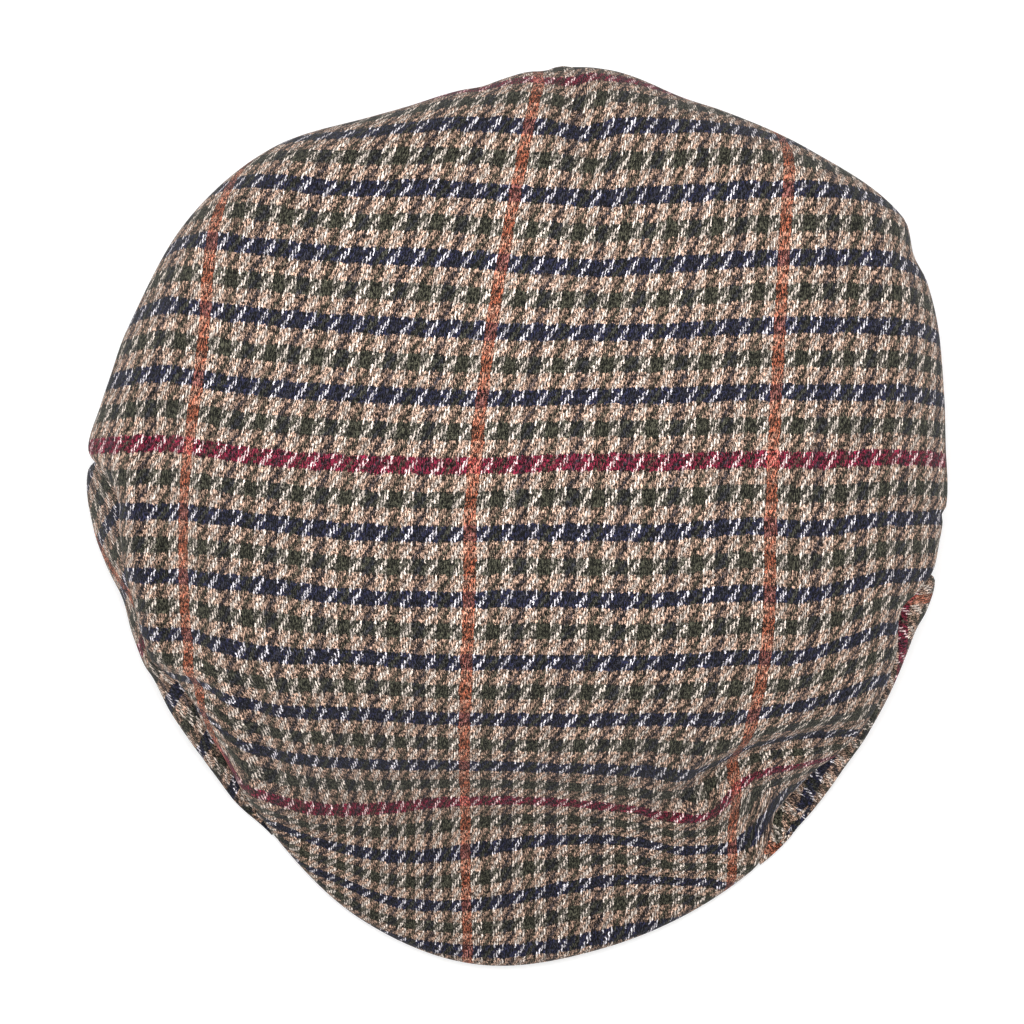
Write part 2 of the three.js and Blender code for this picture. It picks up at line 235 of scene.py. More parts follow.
# Dents and creases in the top panel: x1, y1, x2, y2, width, depth.
CREASES = [
    (10, 142, 20, 108, 10, 4),
    (20, 108, 21, 72, 11, 2.5),
    (50, -82, 74, -64, 9, 5),
    (74, -64, 98, -60, 9, 5),
    (57, -74, 71, -65, 7, 6.2),
    (71, -65, 92, -60, 7, 6.2),
    (-79, -46, -76, -70, 7, 1.6),
    (-108, -40, -92, -46, 5, 2.5),
    (-88, -86, -64, -100, 6, 1.5),
    (-103, 30, -100, -30, 12, 2.5),
]

SHOWING_INSET = 3  # the inset from which a side panel reaches the widest line in full
BELLY_FULLNESS = 0.15  # how full a side panel's lower half is
TIP_FOOT_HEIGHT = 0.5  # height of a side panel's foot where it stands on the peak
TIP_WALL_SHARE = 0.4  # thickness of its wall there, as a share of its height
WIDEST_SHARE = 0.75  # how high up a side panel its widest line lies
SAGGED_SHARE = 0.5  # the same where it sags
SAG_STRAIGHT = 0.7  # and how straight it falls there
SIDE_TIP_HEIGHT = 3.4  # height of a side panel over the peak's rim
NOTCH_BLEND = 7  # degrees over which the top panel's edge comes down onto the rim
TIP_SETBACK = 1.2  # how far outside the notches the side panels' tips stop, in degrees

# ---- fineness of the meshes ----

COARSE_TURN = 1.0  # degrees between sections
FINE_TURN = 0.5  # the same round the front
FRONT = (172, 358)  # the angles where the front starts and ends
ROUNDING = 1e-6
CROWN_RINGS = 104
ROLL_RINGS = 26
TURN_RINGS = 8
BULGE_RINGS = 12
BELLY_RINGS = 28
FOOT_RINGS = 3
HEM_BLEND_RINGS = 5  # above the foot, over which a side panel's wall grows to the hem's
BOARD_RINGS = 8  # on the peak's board, and as many on its lip
LIP_TURN_RINGS = 7
UNDER_RINGS = 28
STEP_SHARE = 0.1  # how far out onto the lip the step down from the board reaches
INSIDE_SKIP = 4  # the inside of a wall has one ring for this many outside


# ---- reading the tables ----


def column(rows, names, name):
    """One column of a table."""
    return [row[names.index(name)] for row in rows]


class Curve:
    """A smooth curve through points. A stretch between two equal values is flat.

    With a period the curve runs on round a circle.
    """

    def __init__(self, at, values, period=0):
        at, values = np.array(at, float), np.array(values, float)
        if period:
            at = np.concatenate([at[-2:] - period, at, at[:2] + period])
            values = np.concatenate([values[-2:], values, values[:2]])
        slope = np.diff(values) / np.diff(at)
        middle = (values[2:] - values[:-2]) / (at[2:] - at[:-2])
        flat = (slope[:-1] == 0) | (slope[1:] == 0)
        self.tangent = np.zeros(len(at))
        self.tangent[1:-1] = np.where(flat, 0, middle)
        self.at, self.values, self.period = at, values, period

    def __call__(self, wanted):
        wanted = np.asarray(wanted, float)
        if self.period:
            wanted = wanted % self.period
        low = np.searchsorted(self.at, wanted, side="right") - 1
        low = np.clip(low, 0, len(self.at) - 2)
        span = self.at[low + 1] - self.at[low]
        share = np.clip((wanted - self.at[low]) / span, 0, 1)
        square, cube = share**2, share**3
        return (
            (2 * cube - 3 * square + 1) * self.values[low]
            + (cube - 2 * square + share) * span * self.tangent[low]
            + (3 * square - 2 * cube) * self.values[low + 1]
            + (cube - square) * span * self.tangent[low + 1]
        )


def round_curve(rows, names, name):
    return Curve(column(rows, names, "angle"), column(rows, names, name), 360)


edge = {name: round_curve(EDGE, EDGE_COLUMNS, name) for name in EDGE_COLUMNS[1:]}
inset = round_curve(CORNERS, CORNER_COLUMNS, "inset")
bulge = {name: round_curve(BULGES, BULGE_COLUMNS, name) for name in BULGE_COLUMNS[1:]}
crown = {
    name: Curve(column(CROWN, CROWN_COLUMNS, "y"), column(CROWN, CROWN_COLUMNS, name))
    for name in CROWN_COLUMNS[1:]
}


def smooth(value):
    value = np.clip(value, 0, 1)
    return value**2 * (3 - 2 * value)


def mix(a, b, share):
    return a + (b - a) * share


# ---- the head opening and the peak ----


def opening_reach(angle):
    """Distance from MIDDLE to the oval of the head opening."""
    cos, sin = np.cos(np.radians(angle)), np.sin(np.radians(angle))
    offset = MIDDLE[1] - OPENING["middle_y"]
    width, length = OPENING["half_width"], OPENING["half_length"]
    a = (cos / width) ** 2 + (sin / length) ** 2
    b = offset * sin / length**2
    c = (offset / length) ** 2 - 1
    return (-b + np.sqrt(b * b - a * c)) / a


def arch_share(angle):
    """1 at the middle of the front, 0 from the peak's ends round the back."""
    turn = (np.asarray(angle, float) - PEAK["middle_angle"] + 180) % 360 - 180
    return np.maximum(0, 1 - (turn / PEAK["half_span"]) ** 2)


def rim_reach(angle):
    """Distance from MIDDLE to the peak's rim, which meets the head opening at its ends."""
    start = PEAK["middle_angle"] - PEAK["half_span"]
    end = PEAK["middle_angle"] + PEAK["half_span"]
    right = smooth((angle - start) / (PEAK["right_notch"] - start))
    left = smooth((end - angle) / (end - PEAK["left_notch"]))
    return mix(opening_reach(angle), edge["reach"](angle), np.minimum(left, right))


def peak_underside(angle, reach):
    """Height of the peak's underside, which rises from the rim to the head opening."""
    root = opening_reach(angle)
    share = np.maximum(0, reach - root) / np.maximum(1, rim_reach(angle) - root)
    return mix(PEAK["root_lift"], PEAK["rim_lift"], share) * arch_share(angle)


# ---- the top panel's shape ----


def plan(angle, reach):
    """The point at an angle and a distance from MIDDLE, seen from above."""
    turn = np.radians(angle)
    return MIDDLE[0] + reach * np.cos(turn), MIDDLE[1] + reach * np.sin(turn)


def valley(x, y, crease):
    """Depth at a point of one straight valley with soft sides."""
    x1, y1, x2, y2, width, depth = crease
    along_x, along_y = x2 - x1, y2 - y1
    share = ((x - x1) * along_x + (y - y1) * along_y) / (along_x**2 + along_y**2)
    share = np.clip(share, 0, 1)
    distance = np.hypot(x - x1 - share * along_x, y - y1 - share * along_y)
    return depth * (1 - smooth(distance / width))


def dome_height(x, y):
    """Height of the crown, with its dents."""
    back = y - CROWN_BOW * (x / BOW_AT) ** 2
    fall = crown["fall"](back) * (np.abs(x) / FALL_AT) ** FALL_POWER
    deepest = np.max([valley(x, y, crease) for crease in CREASES], axis=0)
    return crown["height"](back) - fall - deepest


def cloth_height(angle, reach):
    """Over the peak the cloth lies on the board; behind it the crown stands above."""
    x, y = plan(angle, reach)
    dome = dome_height(x, y)
    on_peak = peak_underside(angle, reach) + PEAK["thickness"]
    on_peak = on_peak + 2 * GAP + SLOPE_ALLOWANCE * CLOTH
    blend = np.maximum(BREAK_SOFTNESS - np.abs(dome - on_peak), 0) / BREAK_SOFTNESS
    both = np.maximum(dome, on_peak) + blend**2 * BREAK_SOFTNESS / 4
    return np.where(arch_share(angle) == 0, dome, both)


def on_rim(angle):
    """1 between the notches, where the top panel ends on the rim of the peak."""
    inside = np.minimum(angle - PEAK["right_notch"], PEAK["left_notch"] - angle)
    return smooth(1 + inside / NOTCH_BLEND)


def top_edge(angle):
    """The top panel's rolled edge and, below and inside it, its seam."""
    reach = edge["reach"](angle) - inset(angle)
    seam_out = reach - edge["tuck"](angle)
    rim = on_rim(angle)
    lip = peak_underside(angle, seam_out - CLOTH) + PEAK["lip_height"] + GAP
    lowest = np.where(arch_share(angle) > 0, lip + (1 - rim) * SIDE_TIP_HEIGHT, 0)
    slope = cloth_height(angle, reach) - edge["sink"](angle)
    seam_up = mix(np.maximum(slope - edge["drop"](angle), lowest), lowest, rim)
    level = np.maximum(slope, seam_up + PEAK["edge_rise"])
    return reach, level, seam_out, seam_up


def top_outline(angle):
    """The outer lines of the top panel's sections, as (out, up), one row a section."""
    angle = angle[:, None]
    reach, level, seam_out, seam_up = top_edge(angle)
    roll = edge["roll"](angle)
    crown_out = (reach - roll) * np.arange(CROWN_RINGS + 1) / CROWN_RINGS
    crown_up = cloth_height(angle, crown_out)
    share = np.sin(np.arange(1, ROLL_RINGS + 1) / ROLL_RINGS * math.pi / 2)
    roll_out = reach - roll * (1 - share)
    round_share = np.sqrt(np.maximum(0, 1 - share**2))
    roll_up = mix(level, cloth_height(angle, roll_out), round_share)
    share = np.arange(1, TURN_RINGS + 1) / TURN_RINGS
    turn_out = mix(reach, seam_out, smooth(share))
    turn_up = mix(level, seam_up, share)
    out = np.concatenate([crown_out, roll_out, turn_out], axis=1)
    up = np.concatenate([crown_up, roll_up, turn_up], axis=1)
    return out, up


# ---- how the cloth lies on the shapes ----

END_PITCH = 0.875  # width of one warp thread
PICK_PITCH = 1.165  # height of one weft thread

# The cloth was cut and pressed a little askew. The tables say how far it has been drawn from
# where it would lie if it ran straight out from the crown's middle along the surface. A row
# for each distance toward the back from the crown's middle, a column for each distance
# toward the wearer's left.
LEAN_ACROSS = (-98, -78, -10, 75)
LEAN = {  # toward the wearer's left
    -160: (20, 16.2, 17.5, 7),
    -120: (19.5, 14.8, 18.5, 4.5),
    -80: (16, 12.9, 17, 11),
    -40: (17, 16.7, 14.5, 10),
    0: (13.5, 13.5, 13, 12),
    40: (4.5, 5, 8.5, 12),
    80: (1, 0.8, 1, 9.5),
    120: (-4.5, -5, -7.5, 4),
}
DRAW_ACROSS = (-100, -90, -75, -50, -20, 10, 40, 65, 85, 110)
DRAW = {  # toward the back
    -160: (-51, -43, -31, -12, -6, -7, -11, -12, -7, 2),
    -145: (-42, -34.5, -23, -5, -3, -8, -13, -13, -5, -4),
    -130: (-29, -20, -8, -1, -3, -8, -9, -2, -3, -14),
    -115: (-14, -8, -1, -1, -5, -7, -3, 5, -10, -28),
    -100: (-14, -9, -6, -5, -7, -6, -2, 1, -20, -33),
    -80: (-30, -15, -10, -8, -7, -6, -6, -5, -13, -16),
    -55: (-17, -12, -9, -9, -7, -7, -7, -8, -9, -17),
    -25: (-14, -13.2, -12, -9, -8, -8, -8, -10, -9, -14),
    15: (-16, -14.3, -12, -10, -9, -10, -10, -11, -11, -12),
    65: (-18, -16.4, -14, -11, -10, -8, -8, -10, -11, -12),
    115: (-21, -19, -16, -11, -12, -11, -12, -13, -14, -16),
}


def station_weights(stations, at):
    """How much each station's value counts in a smooth curve through them, for each place."""
    stations = np.array(stations, float)
    at = np.clip(at, stations[0], stations[-1])
    last = len(stations) - 1
    low = np.clip(np.searchsorted(stations, at, side="right") - 1, 0, last - 1)
    span = stations[low + 1] - stations[low]
    share = (at - stations[low]) / span
    square, cube = share**2, share**3
    weights = np.zeros((len(at), len(stations)))
    rows = np.arange(len(at))
    weights[rows, low] += 2 * cube - 3 * square + 1
    weights[rows, low + 1] += 3 * square - 2 * cube
    for knot, bend in ((low, cube - 2 * square + share), (low + 1, cube - square)):
        before, after = np.maximum(knot - 1, 0), np.minimum(knot + 1, last)
        slope = bend * span / (stations[after] - stations[before])
        weights[rows, after] += slope
        weights[rows, before] -= slope
    return weights


def read_chart(chart, across_stations, across, along):
    """A smooth surface through a chart's values, read at places on the cloth."""
    shape = across.shape
    across_weights = station_weights(across_stations, across.ravel())
    along_weights = station_weights(list(chart), along.ravel())
    values = np.array(list(chart.values()), float)
    return np.einsum("ni,ij,nj->n", along_weights, values, across_weights).reshape(shape)


def top_threads(angles, out, up):
    """Thread numbers over the top panel, and where its points lie when it is laid flat."""
    steps = np.hypot(np.diff(out, axis=1), np.diff(up, axis=1))
    far = np.concatenate([np.zeros((len(out), 1)), np.cumsum(steps, axis=1)], axis=1)
    turn = np.radians(angles)[:, None]
    across, along = far * np.cos(turn), far * np.sin(turn)
    ends = (across + read_chart(LEAN, LEAN_ACROSS, across, along)) / END_PITCH
    picks = (along + read_chart(DRAW, DRAW_ACROSS, across, along)) / PICK_PITCH
    return np.stack([ends, picks], axis=2), np.stack([across, along], axis=2)


# ---- the side panels' shape ----


def over_peak(angle):
    """1 where a side panel's lower edge lies on the peak's rim, 0 where it is the hem."""
    turn = np.abs(angle % 360 - PEAK["middle_angle"])
    span = PEAK["half_span"] - PEAK["solid_half_span"]
    return smooth((PEAK["half_span"] - turn) / span)


def side_outline(angle):
    """The outer lines of a side panel's sections, from its seam down to its lower edge."""
    angle = (angle % 360)[:, None]
    _, _, seam_out, seam_up = top_edge(angle)
    top = seam_up - GAP
    share = over_peak(angle)
    extra, sag = bulge["extra"](angle), bulge["sag"](angle)
    hidden = 1 - smooth(np.maximum(inset(angle), extra) / SHOWING_INSET)
    widest = edge["reach"](angle) - edge["tuck"](angle) * hidden + extra
    widest = np.maximum(seam_out, widest)
    foot_out = mix(opening_reach(angle) + HEM, rim_reach(angle) - PEAK["lip"], share)
    foot_up = peak_underside(angle, foot_out - CLOTH) + PEAK["lip_height"] + GAP
    foot_up = foot_up * share
    hem_top = foot_up + mix(OPENING["hem_height"], TIP_FOOT_HEIGHT, share)
    middle = mix(hem_top, top, mix(WIDEST_SHARE, SAGGED_SHARE, sag))
    share = np.arange(BULGE_RINGS + 1) / BULGE_RINGS
    turn = share * math.pi / 2
    bulge_out = mix(seam_out, widest, mix(np.sin(turn), share, sag * SAG_STRAIGHT))
    bulge_up = mix(middle, top, mix(np.cos(turn), 1 - share, sag * SAG_STRAIGHT))
    bend_out = mix(widest, foot_out, BELLY_FULLNESS)
    bend_up = mix(hem_top, middle, BELLY_FULLNESS)
    t = np.arange(1, BELLY_RINGS + 1) / BELLY_RINGS
    belly_out = (1 - t) ** 2 * widest + 2 * t * (1 - t) * bend_out + t**2 * foot_out
    belly_up = (1 - t) ** 2 * middle + 2 * t * (1 - t) * bend_up + t**2 * hem_top
    t = np.arange(1, FOOT_RINGS + 1) / FOOT_RINGS
    hem_out = np.repeat(foot_out, FOOT_RINGS, axis=1)
    hem_up = mix(hem_top, foot_up, t)
    out = np.concatenate([bulge_out, belly_out, hem_out], axis=1)
    up = np.concatenate([bulge_up, belly_up, hem_up], axis=1)
    return out, up


# ---- meshes ----

THREAD_MAP = "Threads"
BAKE_MAP = "OFBake"
SHORTEST = 1e-9


def sections(start, end):
    """Angles of sections from start to end, closer together round the front."""
    angles = [start]
    while angles[-1] < end - ROUNDING:
        fine = FRONT[0] <= angles[-1] % 360 < FRONT[1]
        step = FINE_TURN if fine else COARSE_TURN
        angles.append(min(end, (math.floor(angles[-1] / step + ROUNDING) + 1) * step))
    return np.array(angles)


def to_points(angles, out, up):
    """Sections as points in millimetres."""
    x, y = plan(angles[:, None], out)
    return np.stack([x, y, up], axis=2)


def grid_normals(points, closed):
    """Outward normals of a grid of points, sections by rings."""
    if closed:
        along = np.roll(points, -1, axis=0) - np.roll(points, 1, axis=0)
    else:
        along = np.gradient(points, axis=0)
    down = np.gradient(points, axis=1)
    normals = np.cross(down, along)
    length = np.linalg.norm(normals, axis=2, keepdims=True)
    return normals / np.maximum(length, SHORTEST)


def build_mesh(name, points, faces, threads, flat=None):
    """A smooth-shaded mesh in metres, with its thread numbers as a UV map."""
    mesh = bpy.data.meshes.new(name)
    mesh.from_pydata((points * MM).tolist(), [], faces)
    mesh.validate()
    mesh.polygons.foreach_set("use_smooth", np.ones(len(mesh.polygons), bool))
    corners = np.zeros(len(mesh.loops), np.int32)
    mesh.loops.foreach_get("vertex_index", corners)
    for layer_name, values in ((THREAD_MAP, threads), (BAKE_MAP, flat)):
        if values is not None:
            layer = mesh.uv_layers.new(name=layer_name)
            layer.data.foreach_set("uv", values[corners].astype(np.float32).ravel())
    mesh.uv_layers.active = mesh.uv_layers[THREAD_MAP]
    mesh.update()
    piece = bpy.data.objects.new(name, mesh)
    bpy.context.scene.collection.objects.link(piece)
    return piece


def ring_faces(bays, size, closed):
    """Quads between neighbouring sections, each a line of size vertices."""
    near = np.arange(bays)[:, None] * size
    far = near + size
    if closed:
        far[-1] = 0
    place = np.arange(size - 1)[None, :]
    quads = [near + place, near + place + 1, far + place + 1, far + place]
    return np.stack(quads, axis=2).reshape(-1, 4).tolist()


def closing_faces(bays, size):
    """Quads from each section's last vertex to its first."""
    near = np.arange(bays) * size
    return np.stack([near + size - 1, near, near + size, near + 2 * size - 1], axis=1).tolist()


def inside_rings(count):
    """The rings that the inside of a wall has, from its last ring to its second."""
    rings = list(range(count - 1, 0, -INSIDE_SKIP))
    if rings[-1] != 1:
        rings.append(1)
    return rings


def make_dome(name, outer, inner, threads, outer_map, inner_map):
    """Joins the two faces of a dome into one closed wall. Its first ring is its middle."""
    inside = inside_rings(outer.shape[1])
    points = np.concatenate([outer[:, 1:], inner[:, inside]], axis=1)
    numbers = np.concatenate([threads[:, 1:], threads[:, inside]], axis=1)
    flat = np.concatenate([outer_map[:, 1:], inner_map[:, inside]], axis=1)
    bays, size = points.shape[:2]
    faces = ring_faces(bays, size, closed=True)
    top, bottom = bays * size, bays * size + 1
    for bay in range(bays):
        near, far = bay * size, (bay + 1) % bays * size
        faces.append([top, near, far])
        faces.append([bottom, far + size - 1, near + size - 1])
    points = np.concatenate([points.reshape(-1, 3), outer[:1, 0], inner[:1, 0]])
    numbers = np.concatenate([numbers.reshape(-1, 2), threads[:1, 0], threads[:1, 0]])
    flat = np.concatenate([flat.reshape(-1, 2), outer_map[:1, 0], inner_map[:1, 0]])
    return build_mesh(name, points, faces, numbers, flat)


def end_faces(first, count, inside, flip):
    """Closes a strip's end, between its outer line and its coarser inner line.

    The end's vertices start at first, with count of them on the outer line.
    """
    faces = []
    for number in range(len(inside) - 1, 0, -1):
        line = list(range(first + inside[number], first + inside[number - 1] + 1))
        line += [first + count + number - 1, first + count + number]
        faces.append(line[::-1] if flip else line)
    return faces


def make_strip(name, outer, inner, threads):
    """Joins the two faces of an open strip into one closed wall."""
    count = outer.shape[1]
    inside = inside_rings(count) + [0]
    points = np.concatenate([outer, inner[:, inside]], axis=1)
    numbers = np.concatenate([threads, threads[:, inside]], axis=1)
    bays, size = points.shape[0] - 1, points.shape[1]
    faces = ring_faces(bays, size, closed=False) + closing_faces(bays, size)
    faces += end_faces(0, count, inside, flip=True)
    faces += end_faces(bays * size, count, inside, flip=False)
    return build_mesh(name, points.reshape(-1, 3), faces, numbers.reshape(-1, 2))


# ---- the weave ----

# Linear colours of the yarns, and of the haze that lies on warp over deep rows.
COLOURS = {
    "cream": (0.65, 0.56, 0.49),
    "tan": (0.37, 0.238, 0.174),
    "green": (0.041, 0.040, 0.027),
    "navy": (0.012, 0.013, 0.033),
    "navy_warp": (0.021, 0.021, 0.028),
    "rust": (0.335, 0.092, 0.048),
    "burgundy": (0.155, 0.009, 0.028),
    "haze_blue": (0.46, 0.48, 0.60),
    "haze_pink": (0.70, 0.42, 0.48),
}

DARK_THREADS = 4  # in each dark stripe, and as many in the light stripe beside it
ACCENT_EVERY = 12.0  # pairs of stripes from one accent to the next
FLOAT = 2  # threads that each float of the twill passes over
FLOAT_LEAN = 0.2  # how far a warp float leans over its length, in threads
WANDER = 1.2  # how far the threads wander, in threads
FRAY_ACROSS = 1.2  # and how far their fibres fray
FRAY_ALONG = 1.6

# How often each noise changes across and along the threads, its seed, detail and roughness.
NOISES = {
    "wander_across": (0.2, 0.2, 1, 1.0, 0.5),
    "wander_along": (0.2, 0.2, 2, 1.0, 0.5),
    "fray_across": (1.4, 1.6, 3, 2.0, 0.6),
    "fray_along": (1.4, 1.6, 4, 2.0, 0.6),
    "curl": (1.45, 0.95, 5, 1.0, 0.5),
    "stray": (1.55, 1.05, 6, 1.0, 0.5),
    "grain": (1.9, 0.9, 7, 1.0, 0.5),
    "fleck": (2.3, 0.9, 9, 1.0, 0.5),
}
SEED_SHIFT = 37.3
NOISE_RANGE = (0.36, 0.64)  # most of a noise's values lie in it

# Loose fibres run where a noise is at its middle value, and fade away from there.
FIBRE_CORE = 0.005
CURL_WIDTH = 0.085
STRAY_WIDTH = 0.075
STRAY_IN_CURL = 0.010  # how much finer the straying fibres are among the curling ones

# Pairs of numbers: for woolly yarn, and for the light warp, which is spun thin and smooth.
FALL_TO_SIDES = (0.5, 2.1)  # how far a float falls from its middle line to its sides
END_HEIGHT = (0.5, 0.3)  # height of a float at its ends
FLECK_GAIN = (1.6, 1.15)
FLECK_BASE = (0.12, 0.44)
THIN_OVER_DEEP = 1.6  # how much further the light warp falls over deep rows

# The heights between which the top thread comes to cover the other, for woolly yarn and for
# the light warp, and how far the fibres fray that edge.
LOOSE_EDGE = (0.05, 0.50)
CRISP_EDGE = (0.10, 0.40)
CURL_IN_EDGE = 0.9
GRAIN_IN_EDGE = 0.25

# How much of one colour shows in another, as shares.
HAZE_ON_LIGHT = 0.55
HAZE_ON_RUST = 0.12
DARK_WARP_OVER_WEFT = 0.32
LIGHT_WARP_OVER_WEFT = 0.20
WEFT_OVER_DARK_WARP = 0.34
BURGUNDY_OVER_DARK_WARP = 0.35  # on top of that
RUST_OVER_WEFT = 0.30
WEFT_OVER_RUST = 0.18
WEFT_OVER_LIGHT_WARP = 0.04
TOP_IN_UNDER = (0.25, 0.03)  # in general, and for light warp over dark weft

# How bright the yarn is, as factors.
# On woolly yarn the curling fibres are bright and the yarn between them dark, as painted shade.
WOOLLY_CURL = 1.45
WOOLLY_GRAIN = 0.35
SMOOTH_GRAIN = 0.6
SMOOTH_BASE = 0.6
# The next two darken the other thread where it shows between the top threads, as painted shade.
UNDER_CURL = (0.5, 1.0)  # in general, and for light warp over dark weft
UNDER_BASE = 0.04
RUST_ON_DEEP_LOSS = 0.25
RUST_ON_BURGUNDY_GAIN = 0.65
LIGHT_WARP_ON_DEEP_GAIN = 0.32
DARK_WARP_ON_LIGHT_WEFT_LOSS = 0.12
MOTTLE = 0.5
MOTTLE_SHIFT = 500.0  # keeps the weft's mottle apart from the warp's

YARN_ROUGHNESS = 0.96
FIBRE_SHINE = 0.14  # how much less rough the loose fibres are
SPECULAR = 0.2
SHEEN = 0.05
SHEEN_ROUGHNESS = 0.5
CURL_IN_BUMP = 0.5
BUMP_STRENGTH = 0.5
BUMP_DEPTH = 0.3  # in millimetres


class Value:
    """A number or vector in a node tree, with arithmetic."""

    tree = None

    def __init__(self, socket):
        self.socket = socket

    def __add__(self, other):
        return maths("ADD", self, other)

    def __radd__(self, other):
        return maths("ADD", other, self)

    def __sub__(self, other):
        return maths("SUBTRACT", self, other)

    def __rsub__(self, other):
        return maths("SUBTRACT", other, self)

    def __mul__(self, other):
        return maths("MULTIPLY", self, other)

    def __rmul__(self, other):
        return maths("MULTIPLY", other, self)

    def __truediv__(self, other):
        return maths("DIVIDE", self, other)

    def __lt__(self, other):
        return maths("LESS_THAN", self, other)

    def __gt__(self, other):
        return maths("GREATER_THAN", self, other)


def put(socket, value):
    """Links a Value to a socket, or sets the socket to a plain value."""
    if isinstance(value, Value):
        Value.tree.links.new(value.socket, socket)
    else:
        socket.default_value = value


def new_node(kind, settings=None, inputs=None):
    made = Value.tree.nodes.new(kind)
    for name, value in (settings or {}).items():
        setattr(made, name, value)
    for name, value in (inputs or {}).items():
        put(made.inputs[name], value)
    return made


def maths(operation, *values):
    made = new_node("ShaderNodeMath", {"operation": operation})
    for socket, value in zip(made.inputs, values):
        put(socket, value)
    return Value(made.outputs[0])


def floor(value):
    return maths("FLOOR", value)


def wrap(value, size):
    return maths("FLOORED_MODULO", value, size)


def vector(x, y):
    return Value(new_node("ShaderNodeCombineXYZ", None, {"X": x, "Y": y}).outputs[0])


def noise(name, u, v):
    """One of the soft noises, from 0 to 1 around 0.5."""
    across, along, seed, detail, roughness = NOISES[name]
    shift = seed * SEED_SHIFT
    made = new_node(
        "ShaderNodeTexNoise",
        {"noise_dimensions": "2D"},
        {
            "Vector": vector(u * across + shift, v * along - shift),
            "Scale": 1.0,
            "Detail": detail,
            "Roughness": roughness,
        },
    )
    return Value(made.outputs["Fac"])


def speck(x, y):
    """A random number from 0 to 1 for each pair of numbers."""
    settings = {"noise_dimensions": "2D"}
    made = new_node("ShaderNodeTexWhiteNoise", settings, {"Vector": vector(x, y)})
    return Value(made.outputs["Value"])


def spread(value, low, high):
    """value from low to high, taken to 0 to 1 and kept there."""
    made = new_node(
        "ShaderNodeMapRange",
        {"clamp": True},
        {"Value": value, "From Min": low, "From Max": high, "To Min": 0.0, "To Max": 1.0},
    )
    return Value(made.outputs[0])


def blend(share, a, b):
    """Colour a where share is 0, b where it is 1."""
    made = new_node("ShaderNodeMix", {"data_type": "RGBA"})
    put(made.inputs["Factor"], share)
    for name, value in (("A", a), ("B", b)):
        socket = next(s for s in made.inputs if s.name == name and s.type == "RGBA")
        put(socket, value if isinstance(value, Value) else (*value, 1.0))
    return Value(next(s for s in made.outputs if s.type == "RGBA"))


def between(share, a, b):
    """Number a where share is 0, b where it is 1."""
    return a + (b - a) * share


def scaled(colour, factor):
    made = new_node("ShaderNodeVectorMath", {"operation": "SCALE"})
    put(made.inputs[0], colour)
    put(made.inputs["Scale"], factor)
    return Value(made.outputs[0])


def twill(u, v):
    """The threads that cross at a place.

    Returns the warp thread's number and the weft thread's, whether the warp is on top, how far
    the place is to the side of the top thread, from -1 to 1, and how far along its float, from
    0 to 1.
    """
    # The threads wander a little, and their fibres fray into their neighbours.
    fray_across, fray_along = noise("fray_across", u, v), noise("fray_along", u, v)
    wander_across, wander_along = noise("wander_across", u, v), noise("wander_along", u, v)
    u = u + wander_across * WANDER + fray_across * FRAY_ACROSS - (WANDER + FRAY_ACROSS) / 2
    v = v + wander_along * WANDER + fray_along * FRAY_ALONG - (WANDER + FRAY_ALONG) / 2

    # Each warp float leans to the right on its way up.
    climb = maths("PINGPONG", (v - u + (FLOAT - 0.5)) * (1 / FLOAT), 1.0)
    u = u - climb * FLOAT_LEAN + FLOAT_LEAN / 2

    end, pick = floor(u), floor(v)
    across, up = u - end, v - pick
    phase = wrap(end - pick, 2.0 * FLOAT)
    warp_up = phase < FLOAT - 0.5
    along_warp = (up + (phase < 0.5)) * (1 / FLOAT)
    along_weft = (across + (phase > 2 * FLOAT - 1.5)) * (1 / FLOAT)
    side = between(warp_up, up, across) * 2.0 - 1.0
    along = between(warp_up, along_weft, along_warp)
    return end, pick, warp_up, side, along


def stripe(number, light, deep, accent):
    """A thread's colour by its number.

    Dark and light stripes take turns. Every other dark stripe is deep, the rest are green, and
    now and then a deep one is an accent. Returns the colour, and whether the thread is in a
    dark stripe, in a deep one and in an accent.
    """
    from_accent = number + DARK_THREADS / 2
    pair = floor(from_accent / (2.0 * DARK_THREADS))
    is_dark = wrap(from_accent, 2.0 * DARK_THREADS) < DARK_THREADS - 0.5
    is_deep = wrap(pair, 2.0) < 0.5
    is_accent = (wrap(pair, ACCENT_EVERY) < 0.5) * is_dark
    colour = blend(is_deep, COLOURS["green"], COLOURS[deep])
    colour = blend(is_dark, COLOURS[light], colour)
    return blend(is_accent, colour, COLOURS[accent]), is_dark, is_deep * is_dark, is_accent


def loose_fibres(u, v):
    """Fibres that curl over everything and those that stray, as thin lines, and a fine grain."""
    curl = maths("ABSOLUTE", noise("curl", u, v) - 0.5)
    stray = maths("ABSOLUTE", noise("stray", u, v) - 0.5)
    grain = spread(noise("grain", u, v), *NOISE_RANGE)
    curl = maths("MINIMUM", curl, stray + STRAY_IN_CURL)
    curl = 1.0 - spread(curl, FIBRE_CORE, CURL_WIDTH)
    stray = 1.0 - spread(stray, FIBRE_CORE, STRAY_WIDTH)
    return curl, stray, grain


